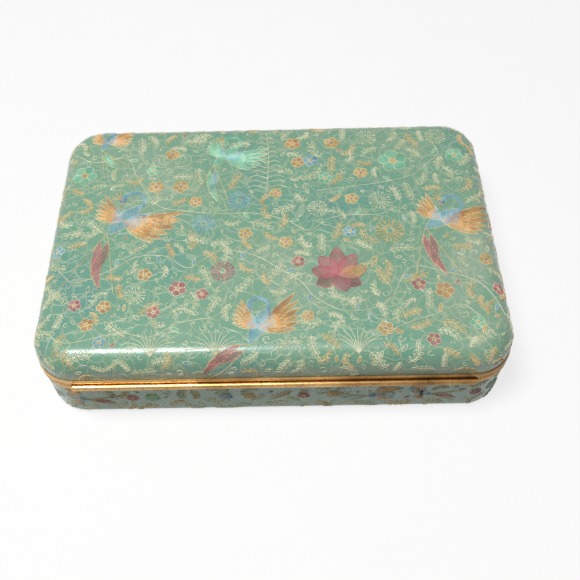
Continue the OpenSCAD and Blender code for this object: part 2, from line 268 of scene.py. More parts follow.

# %% [markdown]
# Rims, hinge and clasp are old brass, bright where hands rub it and brown where they don't.
# One flat colour would look like foil, so a broad noise sets how worn a place is, and
# colour and roughness follow it. A ramp along the case is added to it: a painted highlight
# that lifts the left end and painted shade that makes the right-hand end browner, and the
# roughness follows that too.

# %% Brass
WEAR = 34.0  # scales of the wear, the dark spots and the fine scratches
SPOTS = 900.0
SCRATCHES = 1500.0
END = 95 * MM  # the ends of the case, between which the brass gets browner


def brass():
    r = Recipe(bpy.data.materials.new("worn_brass"))
    place = r.add("TexCoord").outputs[3]
    broad = r.noise(place, WEAR, 4.0)
    x = r.add("SeparateXYZ", Vector=place).outputs[0]
    # Painted light: this ramp along the case lifts the left end (painted highlight) and darkens
    # the right-hand end (painted shade), and it is added to the wear noise below.
    painted_light_ramp = r.add("MapRange", i0=x, i1=-END, i2=END, i3=0.13, i4=-0.12).outputs[0]
    wear_and_painted_light = r.calc("ADD", broad, painted_light_ramp)
    tone = r.ramp(wear_and_painted_light, [(0.28, screen(112, 80, 46)), (0.45, screen(166, 128, 80)),
                         (0.64, screen(212, 172, 116))])
    spots = r.noise(place, SPOTS, 3.0)
    tone = r.mix(0.5, tone, r.ramp(spots, [(0.34, grey(0.45)), (0.5, grey(1))]), "MULTIPLY")
    rough = r.add("MapRange", i0=wear_and_painted_light, i1=0.3, i2=0.7, i3=0.42, i4=0.2).outputs[0]
    drawn_out = r.add("Mapping", Vector=place, Scale=(0.06, 1, 1)).outputs[0]
    scratch = r.noise(drawn_out, SCRATCHES)
    bump = r.add("Bump", Strength=0.2, Distance=0.05 * MM, Height=scratch).outputs[0]
    return r.skin(Base_Color=tone, Roughness=rough, Metallic=1.0, Normal=bump)


BY_SLOT["brass"] = brass()
print("made", BY_SLOT["brass"].name)

# %% [markdown]
# Lining satin, cotton, wadding and board differ in pitch, colour and sheen, but all are
# crossing fibres: two sets of waves, multiplied. So one function serves all four.

# %% Woven cloth and board
BLOTCHES = 55.0  # scale of the slow change of colour


def woven(name, colour, dark, pitch, rough, sheen):
    r = Recipe(bpy.data.materials.new(name))
    place = r.add("TexCoord").outputs[3]
    broad = r.noise(place, BLOTCHES, 3.0)
    tint = r.ramp(broad, [(0.3, screen(*dark)), (0.65, screen(*colour))])
    across_x = r.add("TexWave", {"bands_direction": "X"}, Vector=place, Scale=pitch).outputs[1]
    across_y = r.add("TexWave", {"bands_direction": "Y"}, Vector=place, Scale=pitch).outputs[1]
    weave = r.calc("MULTIPLY", across_x, across_y)
    tint = r.mix(0.25, tint, r.ramp(weave, [(0.0, grey(0.6)), (0.6, grey(1))]), "MULTIPLY")
    bump = r.add("Bump", Strength=0.3, Distance=0.1 * MM, Height=weave).outputs[0]
    return r.skin(Base_Color=tint, Roughness=rough, Normal=bump, Sheen_Weight=sheen)


for slot, name, colour, dark, pitch, rough, sheen in [
        ("lining_satin", "gold_satin", (214, 178, 112), (176, 138, 80), 900, 0.38, 0.4),
        ("underside_cloth", "dark_cotton", (86, 104, 90), (62, 80, 68), 520, 0.8, 0.2),
        ("board", "grey_board", (176, 162, 142), (150, 136, 116), 300, 0.9, 0),
        ("wadding", "cotton_wadding", (232, 228, 216), (214, 208, 194), 260, 0.95, 0.3)]:
    BY_SLOT[slot] = woven(name, colour, dark, pitch, rough, sheen)
print("made satin, cotton, board and wadding")

# %% [markdown]
# The mirror in the lid is silvered glass. A perfect one looks like a hole in a render, so a
# faint haze varies its roughness, as on glass wiped by hand.

# %% Mirror
HAZE = 120.0


def mirror():
    r = Recipe(bpy.data.materials.new("mirror_silver"))
    place = r.add("TexCoord").outputs[3]
    haze = r.noise(place, HAZE, 3.0)
    rough = r.add("MapRange", i0=haze, i3=0.02, i4=0.07).outputs[0]
    tint = r.ramp(haze, [(0.3, grey(0.86)), (0.7, grey(0.93))])
    return r.skin(Base_Color=tint, Roughness=rough, Metallic=1.0)


BY_SLOT["mirror"] = mirror()
print("finishes for", ", ".join(BY_SLOT))

# %% [markdown]
# The record says which finish each CAD node has and which body it belongs to. Reading both
# from it, instead of listing the nodes again, leaves no node without a finish.

# %% Give every CAD node its finish
SLOT_OF = {part["node"]: part["material_slot"] for part in frame["record"]["subparts"]}
BODY_OF = {node: body for body, group in frame["record"]["behaviour"]["bodies"].items()
           for node in group}


def clothe(piece, material):
    piece.data.materials.clear()
    piece.data.materials.append(material)


for name, node in nodes.items():
    clothe(node, BY_SLOT[SLOT_OF[name]])
print("every CAD node has its finish")

# %% [markdown]
# On the real lid one flat sheet of brocade is pulled over a round shoulder and down the
# wall. Shrinking a plane onto the solid would drag the pattern at the corners, so a rule
# says where each point of the flat cloth comes to lie, for the cover and for the threads.
# Its sizes come from the frame and a few radii of the CAD, in mm.

# %% Where a point of the lid's cloth lies
LID_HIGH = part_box("lid_cover")[1]
HALF_W = round(LID_HIGH.x / MM, 1)
HALF_D = round(LID_HIGH.y / MM, 1)
WALL_R = 16.3  # corner radius of the walls, seen from above
SHOULDER = 8.5  # radius of the lid's rounded upper edge
CROWN = 0.8  # how far the padding lifts the middle of the lid
CROWN_X = 86.5  # half the width and half the depth of the padded part
CROWN_Y = 55
FLAT_R = WALL_R - SHOULDER
CORNER_X = HALF_W - WALL_R
CORNER_Y = HALF_D - WALL_R
TOP = round(LID_HIGH.z / MM, 1) - CROWN
QUARTER = SHOULDER * math.pi / 2


def lid_point(x, y):
    """Place and outward direction on the lid for a point of its flat cloth, in mm."""
    ax = max(abs(x) - CORNER_X, 0)
    ay = max(abs(y) - CORNER_Y, 0)
    reach = math.hypot(ax, ay)
    over = reach - FLAT_R
    if over <= 0:
        g = max(0, 1 - (x / CROWN_X) ** 2) * max(0, 1 - (y / CROWN_Y) ** 2)
        return Vector((x, y, TOP + CROWN * (1 - (1 - g) ** 2))), Vector((0, 0, 1))
    nx = math.copysign(ax / reach, x)
    ny = math.copysign(ay / reach, y)
    turn = min(over / SHOULDER, math.pi / 2)
    out = FLAT_R + SHOULDER * math.sin(turn)
    z = TOP - SHOULDER * (1 - math.cos(turn)) - max(0, over - QUARTER)
    bx = math.copysign(abs(x) - ax, x)
    by = math.copysign(abs(y) - ay, y)
    facing = Vector((nx * math.sin(turn), ny * math.sin(turn), math.cos(turn)))
    return Vector((bx + nx * out, by + ny * out, z)), facing


print("flat top is", round(CORNER_X + FLAT_R, 1), "by", round(CORNER_Y + FLAT_R, 1), "mm, halved")

# %% [markdown]
# The base's brocade is one strip round the walls, over a small round foot and under the
# floor. Its rule has two coordinates: s runs round the case from the middle of the hinge
# side, and v runs down the wall from the strip's upper edge.

# %% Where a point of the base's cloth lies
BASE_LOW, BASE_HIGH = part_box("base_cover")
BASE_TOP = round(BASE_HIGH.z / MM, 1)
UNDER = round(BASE_LOW.z / MM, 1)
FOOT = 2.9  # radius of the lower edge
TURN_IN = 9.0  # cloth glued under the floor
ARC = WALL_R * math.pi / 2
GIRTH = 4 * (CORNER_X + CORNER_Y + ARC)
FOOT_ARC = FOOT * math.pi / 2
BASE_WALL = BASE_TOP - FOOT - UNDER
# Each straight side: its length, its distance from the middle, and where along it it starts.
SIDES = [(CORNER_X, CORNER_Y, 0), (2 * CORNER_Y, CORNER_X, -CORNER_Y),
         (2 * CORNER_X, CORNER_Y, -CORNER_X), (2 * CORNER_Y, CORNER_X, -CORNER_Y),
         (CORNER_X, CORNER_Y, -CORNER_X)]
CORNERS = [(1, -1), (1, 1), (-1, 1), (-1, -1)]


def round_case(s):
    """A point inside the wall and the way out from it, s mm round the case."""
    s = s % GIRTH
    for quarter, (length, distance, start) in enumerate(SIDES):
        angle = -math.pi / 2 + quarter * math.pi / 2
        n = Vector((math.cos(angle), math.sin(angle)))
        if s <= length or quarter == len(CORNERS):
            return n * distance + Vector((-n.y, n.x)) * (start + s), n
        s -= length
        if s <= ARC:
            turned = angle + s / WALL_R
            side_x, side_y = CORNERS[quarter]
            return (Vector((side_x * CORNER_X, side_y * CORNER_Y)),
                    Vector((math.cos(turned), math.sin(turned))))
        s -= ARC


def base_point(s, v):
    """Place and outward direction on the base, v mm down the cloth from its top edge."""
    middle, n = round_case(s)
    turn = min(max(v - BASE_WALL, 0) / FOOT, math.pi / 2)
    inset = FOOT * (1 - math.cos(turn)) + max(0, v - BASE_WALL - FOOT_ARC)
    z = BASE_TOP - min(v, BASE_WALL) - FOOT * math.sin(turn)
    xy = middle + n * (WALL_R - inset)
    return Vector((xy.x, xy.y, z)), Vector((n.x * math.cos(turn), n.y * math.cos(turn),
                                            -math.sin(turn)))


print("the base's cloth is", round(GIRTH), "mm round")

# %% [markdown]
# Cloth is thin, but a surface without thickness shows its inside when the lid opens. These
# helpers make a mesh from rows of points, turn its faces outwards, keep each point's place
# on the flat cloth as its UV, and give the sheet a thickness with Solidify.

# %% Mesh helpers
UV_UNIT = 100  # mm of cloth to one UV unit


def add_piece(name, vertices, faces):
    mesh = bpy.data.meshes.new(name)
    mesh.from_pydata([Vector(v) * MM for v in vertices], [], faces)
    mesh.validate()
    piece = put(name, mesh)
    mesh.polygons.foreach_set("use_smooth", [True] * len(mesh.polygons))
    return piece


def grid(rows, across, first=0, closed=False):
    """Faces between rows of points; a closed row joins its end to its start."""
    faces = []
    for row in range(rows - 1):
        low = first + row * across
        for k in range(across if closed else across - 1):
            after = (k + 1) % across
            faces.append((low + k, low + across + k, low + across + after, low + after))
    return faces


def edit_mesh(piece, change):
    """Opens the piece's mesh, lets change work on it and writes it back."""
    work = bmesh.new()
    work.from_mesh(piece.data)
    change(work)
    work.to_mesh(piece.data)
    work.free()


def face_out(piece, probe):
    """Turns all faces outwards: the face furthest along probe has to look along it."""
    def turn(work):
        bmesh.ops.recalc_face_normals(work, faces=work.faces[:])
        lead = max(work.faces, key=lambda f: f.calc_center_median().dot(probe))
        if lead.normal.dot(probe) < 0:
            bmesh.ops.reverse_faces(work, faces=work.faces[:])
    edit_mesh(piece, turn)


def modify(piece, kind, **settings):
    modifier = piece.modifiers.new(kind.lower(), kind)
    for key, value in settings.items():
        setattr(modifier, key, value)
    return modifier


def bake_modifiers(piece):
    """Makes the modifiers' result the piece's own mesh."""
    graph = bpy.context.evaluated_depsgraph_get()
    made = bpy.data.meshes.new_from_object(piece.evaluated_get(graph), depsgraph=graph,
                                           preserve_all_data_layers=True)
    piece.modifiers.clear()
    piece.data = made


def write_uv(piece, places):
    layer = piece.data.uv_layers.new(name="cloth")
    for loop in piece.data.loops:
        x, y = places[loop.vertex_index]
        layer.data[loop.index].uv = (x / UV_UNIT, y / UV_UNIT)


def thicken(piece, thickness):
    """Gives a sheet its thickness, inwards."""
    modify(piece, "SOLIDIFY", thickness=thickness * MM, offset=-1)
    bake_modifiers(piece)


def swap_in(piece, node):
    """The piece stands for a CAD node and takes over its body, slot and finish."""
    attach(piece, BODY_OF[node])
    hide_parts(node)
    clothe(piece, BY_SLOT[SLOT_OF[node]])
    print(piece.name, "has", len(piece.data.polygons), "faces")


print("the lid's cover will replace a node of the", BODY_OF["lid_cover"])

# %% [markdown]
# The lid's cover is padded: a crowned top, a soft shoulder and straight walls. The real one
# is glued tight, and a cloth simulation would wrinkle it, so the rule above shapes it. Its
# mesh is rings round the case, which keeps the corners round; the last is under the rim.

# %% The lid's cover
COLUMNS = 400  # points round the case
TOP_RINGS = 28
EDGE_RINGS = 24
LID_EDGE = 20.0  # cloth beyond the flat top, which ends under the rim
CLOTH_T = 0.6
columns = [round_case(GIRTH * k / COLUMNS) for k in range(COLUMNS)]
cloth_places = [(0.0, 0.0)]
for ring in range(1, TOP_RINGS + 1):
    share = ring / TOP_RINGS
    cloth_places += [tuple((m + n * FLAT_R) * share) for m, n in columns]
for ring in range(1, EDGE_RINGS + 1):
    over = LID_EDGE * ring / EDGE_RINGS
    cloth_places += [tuple(m + n * (FLAT_R + over)) for m, n in columns]
faces = [(0, 1 + k, 1 + (k + 1) % COLUMNS) for k in range(COLUMNS)]
faces += grid(TOP_RINGS + EDGE_RINGS, COLUMNS, first=1, closed=True)
lid_brocade = add_piece("lid_brocade", [lid_point(*p)[0] for p in cloth_places], faces)
write_uv(lid_brocade, cloth_places)
face_out(lid_brocade, Vector((0, 0, 1)))
thicken(lid_brocade, CLOTH_T)
swap_in(lid_brocade, "lid_cover")

# %% [markdown]
# The base's strip is a plain grid on the tape's coordinates. It meets itself at the middle
# of the hinge side, where its two ends are welded, so that no gap shows behind the hinge.

# %% The base's cover
WALL_ROWS = 14
FOOT_ROWS = 6
UNDER_ROWS = 4
SEAM = 0.01  # the two ends lie closer than this
drops = [BASE_WALL * k / WALL_ROWS for k in range(WALL_ROWS + 1)]
drops += [BASE_WALL + FOOT_ARC * k / FOOT_ROWS for k in range(1, FOOT_ROWS + 1)]
drops += [BASE_WALL + FOOT_ARC + TURN_IN * k / UNDER_ROWS for k in range(1, UNDER_ROWS + 1)]
strip_places = [(GIRTH * k / COLUMNS, v) for v in drops for k in range(COLUMNS + 1)]
base_brocade = add_piece("base_brocade", [base_point(*p)[0] for p in strip_places],
                         grid(len(drops), COLUMNS + 1))
write_uv(base_brocade, strip_places)
edit_mesh(base_brocade, lambda work: bmesh.ops.remove_doubles(
    work, verts=work.verts[:], dist=SEAM * MM))
face_out(base_brocade, Vector((0, -1, 0)))
thicken(base_brocade, CLOTH_T)
swap_in(base_brocade, "base_cover")

# %% [markdown]
# A brocade's figures are extra wefts that float over the ground. Painted on, they would
# have no relief, so the loom collects them as lines on the flat cloth: an outline is one
# line, and a filled shape is a row of parallel floats cut to its outline. Taken squares are
# remembered, so that small sprigs fill only what is free.

# %% The loom
CELL = 1.0  # side of a remembered square of cloth, in mm
STEP = 1.5  # longest straight part of a thread
GAP = 0.62  # between the floats of a filled shape
SHORTEST = 0.3  # floats shorter than this are left out


class Loom:
    def __init__(self):
        self.threads = {colour: [] for colour in SILKS}
        self.taken = set()

    def line(self, colour, points, closed=False):
        points = [Vector(p[:2]) for p in points]
        if closed:
            points.append(points[0])
        path = [points[0]]
        for a, b in zip(points, points[1:]):
            parts = max(1, math.ceil((b - a).length / STEP))
            path += [a.lerp(b, (k + 1) / parts) for k in range(parts)]
        if len(path) > 1:
            self.threads[colour].append(path)
        for p in path:
            self.taken.add((round(p.x / CELL), round(p.y / CELL)))

    def fill(self, colour, outline, angle, edge=None):
        turned = [Matrix.Rotation(-angle, 2) @ Vector(p[:2]) for p in outline]
        lift = Matrix.Rotation(angle, 2)
        low = min(p.y for p in turned)
        high = max(p.y for p in turned)
        for row in range(int((high - low) / GAP) + 1):
            y = low + GAP * (row + 0.5)
            cuts = []
            for a, b in zip(turned, turned[1:] + turned[:1]):
                if (a.y > y) != (b.y > y):
                    cuts.append(a.x + (b.x - a.x) * (y - a.y) / (b.y - a.y))
            cuts.sort()
            for start, end in zip(cuts[::2], cuts[1::2]):
                if end - start > SHORTEST:
                    self.line(colour, [lift @ Vector((start, y)), lift @ Vector((end, y))])
        if edge:
            self.line(edge, outline, closed=True)

    def free(self, x, y, reach):
        cells = int(reach / CELL)
        cx = round(x / CELL)
        cy = round(y / CELL)
        return not any((cx + i, cy + j) in self.taken
                       for i in range(-cells, cells + 1) for j in range(-cells, cells + 1))


def at(x, y, angle, length):
    return Vector((x + math.cos(angle) * length, y + math.sin(angle) * length))


def smooth(points, parts=6):
    """A rounded path through the points (Catmull-Rom)."""
    pts = [Vector(p) for p in points]
    pts = [pts[0] * 2 - pts[1]] + pts + [pts[-1] * 2 - pts[-2]]
    path = []
    for a, b, c, d in zip(pts, pts[1:], pts[2:], pts[3:]):
        for k in range(parts):
            t = k / parts
            path.append(0.5 * (2 * b + (c - a) * t + (2 * a - 5 * b + 4 * c - d) * t * t
                               + (3 * b - a - 3 * c + d) * t ** 3))
    return path + [pts[-2]]


def almond(x, y, angle, length, width, bend=0.0, blunt=0.8):
    """Outline of a petal, leaf or feather that starts at x, y."""
    sides = ([], [])
    for k in range(11):
        t = k / 10
        place = at(x, y, angle, length * t) + at(0, 0, angle + math.pi / 2, bend * t * t)
        half = width / 2 * math.sin(math.pi * t) ** blunt
        sides[0].append(place + at(0, 0, angle + math.pi / 2, half))
        sides[1].append(place - at(0, 0, angle + math.pi / 2, half))
    return sides[0] + sides[1][-2:0:-1]


print("a petal's outline has", len(almond(0, 0, 0, 1, 1)), "points")

# %% [markdown]
# The flowers are the stock ones of Chinese silk: round peonies, rayed star flowers and one
# broad lotus seen from the side. Traced outlines would be truer but long, so each flower is
# a short rule: petals round a middle, filled with floats and outlined.

# %% Flowers
PETALS = 5
RAYS = 16


def flower(loom, x, y, size, colour, heart="gold", turn=0.3):
    for k in range(PETALS):
        angle = turn + k * math.tau / PETALS
        tip = at(x, y, angle, size * 0.22)
        shape = almond(*tip, angle, size * 0.82, size * 0.86, blunt=0.6)
        loom.fill(colour, shape, angle, edge="cream")
    ring = [at(x, y, k * math.tau / 10, size * 0.24) for k in range(10)]
    loom.fill(heart, ring, turn, edge="cream")


def star_flower(loom, x, y, size, colour):
    for k in range(RAYS):
        angle = k * math.tau / RAYS
        loom.line(colour, [at(x, y, angle, size * 0.3), at(x, y, angle, size)])
        if k % 2:
            loom.line(colour, [at(x, y, angle - 0.16, size * 0.95),
                               at(x, y, angle, size * 0.75), at(x, y, angle + 0.16, size * 0.95)])
    loom.line("cream", [at(x, y, k * math.tau / 9, size * 0.24) for k in range(9)], closed=True)


def lotus(loom, x, y, size):
    """A broad flower seen from the side, with its outer petals hanging."""
    petals = [(90, 1.0, "rose"), (52, 0.92, "rose"), (128, 0.86, "rose"), (14, 0.86, "gold"),
              (166, 0.8, "rose"), (-28, 0.72, "maroon"), (208, 0.72, "maroon"),
              (-70, 0.6, "maroon")]
    for degrees, reach, colour in petals:
        angle = math.radians(degrees)
        loom.fill(colour, almond(x, y, angle, size * reach, size * 0.46, blunt=0.75),
                  angle + 0.5, edge="rose" if colour == "maroon" else "maroon")


print("flowers have", PETALS, "petals or", RAYS, "rays")

# %% [markdown]
# Between the flowers run vines with leaves left and right, ferns, tufts of grass and
# palmettes of curls. Every point of a vine could be written down, but a smooth path through
# a few points does as well, and its leaves come at even steps.

# %% Leaves, stems and scrolls
LEAF_STEP = 9  # points of a stem from one leaf to the next
LEAF_SIZE = 4.2
FROND_STEP = 3


def leaf(loom, x, y, angle, size, colour):
    shape = almond(x, y, angle, size, size * 0.36)
    loom.fill(colour, shape, angle + 0.7, edge="cream")


def stem(loom, points, leaves):
    path = smooth(points)
    loom.line("cream", path)
    for k in range(LEAF_STEP // 2, len(path) - 1, LEAF_STEP):
        run = path[k + 1] - path[k]
        angle = math.atan2(run.y, run.x)
        side = 1 if (k // LEAF_STEP) % 2 else -1
        leaf(loom, *path[k], angle + side * 0.9, LEAF_SIZE, leaves)


def curl(loom, x, y, size, colour, hand=1, start=0.0):
    loom.line(colour, [at(x, y, start + hand * k * 0.45, size * (1 - k / 15)) for k in range(13)])


def fern(loom, x, low, high):
    loom.line("cream", [(x, low), (x + 1, (low + high) / 2), (x, high)])
    count = int((high - low) / FROND_STEP)
    for k in range(count):
        y = low + FROND_STEP * k + 2
        reach = 7.5 * (1 - k / count) + 1.5
        for side in (-1, 1):
            loom.line("cream", smooth([(x, y), (x + side * reach * 0.6, y + 1.6),
                                       (x + side * reach, y + 0.4)], 3))


def palmette(loom, x, y, size):
    for side in (-1, 1):
        for k, reach in enumerate((1.0, 0.7, 0.45)):
            turn = math.pi / 2 - side * 0.5
            curl(loom, x + side * size * 0.45 * reach, y, size * 0.5 * reach, "cream",
                 hand=side, start=turn + side * math.pi)
    flower(loom, x, y + size * 0.25, size * 0.3, "gold", "rose")


def grass(loom, x, y, size):
    for k in range(9):
        angle = math.pi / 2 + (k - 4) * 0.2
        loom.line("cream", smooth([(x, y), at(x, y, angle, size * 0.6),
                                   at(x, y, angle + (k - 4) * 0.06, size)], 3))


print("a stem has a leaf every", LEAF_STEP, "points")

# %% [markdown]
# Phoenixes are the largest figures: a slim body, a bent neck with a crest, two wings and a
# ribbon tail. Each could be drawn apart, but they differ mostly in how they turn, so one
# rule draws them all from a size and the angles of body, wings and tail.

# %% Birds
SPREAD = 0.9  # angle of a fanned wing


def wing(loom, x, y, angle, size, colours, hand):
    """Long feathers fanned from one root, with a row of short ones over them."""
    for row, (count, reach, wide) in enumerate([(6, 1.0, 0.15), (4, 0.45, 0.14)]):
        for k in range(count):
            share = k / (count - 1)
            turn = angle + hand * SPREAD * (share - 0.5)
            shape = almond(x, y, turn, size * reach * (1 - 0.3 * share), size * wide,
                           -hand * size * 0.12)
            colour = colours[-1] if row else colours[k % (len(colours) - 1)]
            loom.fill(colour, shape, turn, edge="cream")


def phoenix(loom, x, y, size, heading, low_wing, high_wing, tail_turn, body="sky",
            wings=("orange", "gold", "sky"), tail=("rose", "maroon")):
    """A bird whose body rises from x, y; its wings and tail leave at their own angles."""
    heading, low_wing, high_wing, tail_turn = [
        math.radians(angle) for angle in (heading, low_wing, high_wing, tail_turn)]
    for k, shift in enumerate((-0.06, 0.06)):
        root = at(x, y, tail_turn, size * 0.12)
        root = at(*root, tail_turn + math.pi / 2, size * shift)
        loom.fill(tail[k], almond(*root, tail_turn, size * (0.85 - 0.2 * k), size * 0.15,
                                  size * (0.22 - 0.3 * k)), tail_turn + 0.6, edge="straw")
        loom.line("straw", smooth([(x, y), root,
                                   at(*root, tail_turn + shift * 6, size * 0.95)]))
    shoulder = at(x, y, heading, size * 0.34)
    wing(loom, *shoulder, high_wing, size * 0.62, wings, 1)
    wing(loom, *shoulder, low_wing, size * 0.95, wings, -1)
    loom.fill(body, almond(x, y, heading, size * 0.75, size * 0.27), heading + 0.9,
              edge="cream")
    chest = at(x, y, heading, size * 0.66)
    loop = at(*chest, heading + 1.2, size * 0.16)
    neck = [at(*loop, heading - 1.9 + k * 0.5, size * 0.17) for k in range(9)]
    for grow in (0.94, 1.06, 1.2):
        loom.line(body, [loop + (p - loop) * grow for p in neck])
    head = neck[-1]
    loom.fill(body, [at(*head, k * math.tau / 8, size * 0.075) for k in range(8)], heading,
              edge="cream")
    loom.line("gold", [head, at(*head, heading - 2.6, size * 0.16)])
    for k in range(4):
        loom.line("gold", smooth([head, at(*head, heading + 1.2 + k * 0.3, size * 0.1),
                                  at(*head, heading + 1.0 + k * 0.4, size * 0.2)], 3))


print("a wing is fanned over", round(math.degrees(SPREAD)), "degrees")

# %% [markdown]
# The figures look scattered on the real lid. A repeat would put them in the wrong places, so
# each row below is one figure, placed from the photograph: millimetres from the lid's
# middle with the hinge side at minus Y, then size and colour or angles.

# %% Figures on the lid
lid_loom = Loom()
phoenix(lid_loom, -70, -2, 28, 50, -24, 155, -100)
phoenix(lid_loom, 65, -2, 25, 34, -12, 140, -84)
phoenix(lid_loom, -9, -56, 23, 66, 14, 150, 205)
phoenix(lid_loom, -78, 47, 16, 70, 10, 160, -58, tail=("mint", "mint"))
phoenix(lid_loom, -26, 36, 22, 48, -20, 140, -92, body="mint",
        wings=("mint", "mint", "sky"), tail=("mint", "sky"))
lotus(lid_loom, 27, -25, 14)
fern(lid_loom, -2, 20, 58)
palmette(lid_loom, -45, 41, 11)
for x in (-47, -22, 33):
    grass(lid_loom, x, -60, 11)
for x, y, size, colour in [
        (-84, 32, 5.5, "mint"), (-53, 34, 3, "mint"), (-40, 24, 3.6, "gold"),
        (-51, 24, 3.6, "gold"), (10, 49, 3.6, "orange"), (28, 49, 3.6, "gold"),
        (18, 38, 3.6, "sky"), (12, 37, 3, "orange"), (24, 27, 3.2, "mint"),
        (55, 37, 6.5, "mint"), (83, 40, 4, "mint"), (40, 30, 3.2, "gold"),
        (-33, 15, 3, "gold"), (-44, 5, 3, "gold"), (-11, -3, 3, "gold"), (2, 19, 2.8, "gold"),
        (35, 15, 3, "gold"), (6, -8, 3, "gold"), (-38, -30, 3.6, "rose"),
        (-28, -33, 2.6, "rose"), (-79, -37, 2.8, "rose"), (-47, -41, 2.8, "rose"),
        (11, -18, 2.8, "rose"), (59, -30, 3, "rose"), (91, -32, 2.8, "rose"),
        (-67, -38, 3, "orange"), (-73, -46, 3, "orange"), (-52, -23, 3, "orange"),
        (69, -33, 3.8, "orange"), (88, -18, 3, "gold"), (44, -50, 3.2, "gold"),
        (14, -44, 2.6, "gold"), (-67, -54, 2.6, "sky"), (33, -3, 2.8, "sky"),
        (80, -48, 3, "mint"), (62, -55, 2.8, "rose"), (-90, -10, 3, "sky")]:
    flower(lid_loom, x, y, size, colour, "rose" if colour == "gold" else "gold",
           turn=(x + y) * 0.1)
for x, y, size, colour in [(-14, 15, 5, "sky"), (-29, 3, 5, "sky"), (50, -3, 6, "gold"),
                           (-20, -22, 5, "rose"), (20, 10, 4.5, "cream"), (47, 14, 5, "cream"),
                           (-55, -33, 4.5, "cream"), (76, 52, 5, "cream"), (44, 52, 5, "cream")]:
    star_flower(lid_loom, x, y, size, colour)
print("lid figures:", sum(len(paths) for paths in lid_loom.threads.values()), "threads")

# %% [markdown]
# Long vines join the figures. Each row holds the colour of a vine's leaves and the points
# that it passes, so a vine is moved by moving a point.

# %% Vines on the lid
VINES = [
    ("mint", [(-90, 45), (-80, 40), (-66, 42), (-60, 30), (-50, 14), (-38, 10), (-20, 8),
              (-8, 8), (6, 4), (16, -2), (24, 4), (34, 6), (46, 6), (54, 10)]),
    ("mint", [(73, 50), (76, 42), (70, 35), (62, 28), (48, 24), (34, 22), (20, 20)]),
    ("sky", [(-88, -20), (-80, -26), (-66, -20), (-56, -14), (-44, -14), (-34, -20),
             (-22, -12), (-8, -14), (4, -22), (12, -28), (18, -36), (30, -42), (46, -38),
             (56, -22), (70, -24), (84, -30), (92, -44)]),
    ("mint", [(-90, -48), (-80, -54), (-60, -50), (-48, -52), (-36, -46), (-24, -44)]),
    ("gold", [(36, -56), (52, -48), (64, -44), (76, -40), (86, -54)])]
for leaves, points in VINES:
    stem(lid_loom, points, leaves)
print(len(VINES), "vines")

# %% [markdown]
# The ground between is full of small sprigs, far too many to place by hand. Seeded dice
# drop them wherever the cloth is still free, the same in every run. Some fall beyond the
# flat top, and the rule for the cloth bends those down over shoulder and wall.

# %% Sprigs on the lid
SPRAY_SIZE = (5, 9)  # shortest and longest, in mm
SPRIG_SIZE = (1.6, 3)
CLEAR = 1.2  # free cloth that each end of a sprig needs round it
LID_REACH = 15  # how far beyond the flat top the pattern goes


def spray(loom, x, y, size, angle, colour, bend):
    """A thin bent stalk with paired outline leaves and a bud."""
    path = smooth([(x, y), at(x, y, angle, size * 0.5), at(x, y, angle + bend, size)], 4)
    loom.line(colour, path)
    for k in range(1, len(path) - 1, 2):
        for side in (-1, 1):
            loom.line(colour, almond(*path[k], angle + bend + side * 0.8, size * 0.3,
                                     size * 0.11)[::2], closed=True)
    loom.line(colour, almond(*path[-1], angle + bend * 2, size * 0.3, size * 0.16)[::2],
              closed=True)


def sprigs(loom, width, height, tries, inside, seed):
    """Sprays, curls, leaves and buds wherever the cloth is still free."""
    dice = random.Random(seed)
    sprays = tries / 3
    count = 0
    for k in range(tries):
        x = dice.uniform(-width, width)
        y = dice.uniform(-height, height)
        kind = dice.random()
        angle = dice.uniform(0, math.tau)
        size = dice.uniform(*(SPRAY_SIZE if k < sprays else SPRIG_SIZE))
        tip = at(x, y, angle, size)
        if not inside(x, y) or not inside(*tip):
            continue
        if not loom.free(x, y, CLEAR) or not loom.free(*tip, CLEAR):
            continue
        count += 1
        if k < sprays:
            spray(loom, x, y, size, angle, dice.choice(("cream", "cream", "straw")),
                  dice.uniform(-0.5, 0.5))
        elif kind < 0.5:
            curl(loom, x, y, size * 0.7, "cream", dice.choice((-1, 1)), angle)
        elif kind < 0.86:
            loom.line("cream", almond(x, y, angle, size * 1.2, size * 0.45)[::2], closed=True)
        else:
            leaf(loom, x, y, angle, size * 1.3, dice.choice(("mint", "gold", "rose", "sky")))
    return count


def on_lid(x, y):
    return math.hypot(max(abs(x) - CORNER_X, 0), max(abs(y) - CORNER_Y, 0)) < FLAT_R + LID_REACH


print("lid sprigs:", sprigs(
    lid_loom, width=104, height=72, tries=9000, inside=on_lid, seed=7))

# %% [markdown]
# Only a band of the base's cloth shows, about 20 mm high, and little of it is clear in the
# photograph. An even repeat of birds, palmettes and flowers, as a real loom gives, is the
# simplest guess, and sprigs fill the rest.

# %% Pattern on the base
REPEAT = 70  # mm round the case from a bird to the next palmette
BAND = (3.5, 23)  # where the pattern lies, down from the upper edge
base_loom = Loom()
phoenix(base_loom, 38, 14, 12, -20, -60, 60, 170, tail=("sky", "mint"))
for turn in range(-4, 5):
    middle = REPEAT * turn
    if turn % 2:
        phoenix(base_loom, middle - 6, 13, 11, 200, 240, 120, 10)
    else:
        palmette(base_loom, middle + 24, 9, 9)
    for shift, size, colour in [(-20, 3, "sky"), (-10, 2.6, "gold"), (12, 2.6, "rose"),
                                (20, 3.2, "mint")]:
        if base_loom.free(middle + shift, 12, 3):
            flower(base_loom, middle + shift, 12, size, colour)


def on_base(s, v):
    return BAND[0] < v < BAND[1]


print("base sprigs:", sprigs(
    base_loom, width=GIRTH / 2, height=BAND[1], tries=7000, inside=on_base, seed=11))

# %% [markdown]
# So far a thread is a list of points. Geometry Nodes turn it into silk: the line becomes a
# curve, a small round profile is swept along it, and the colour is set. Bevelled curves
# would look the same, but one node group serves every colour and leaves a mesh.

# %% Geometry Nodes for the threads
PROFILE_SIDES = 5


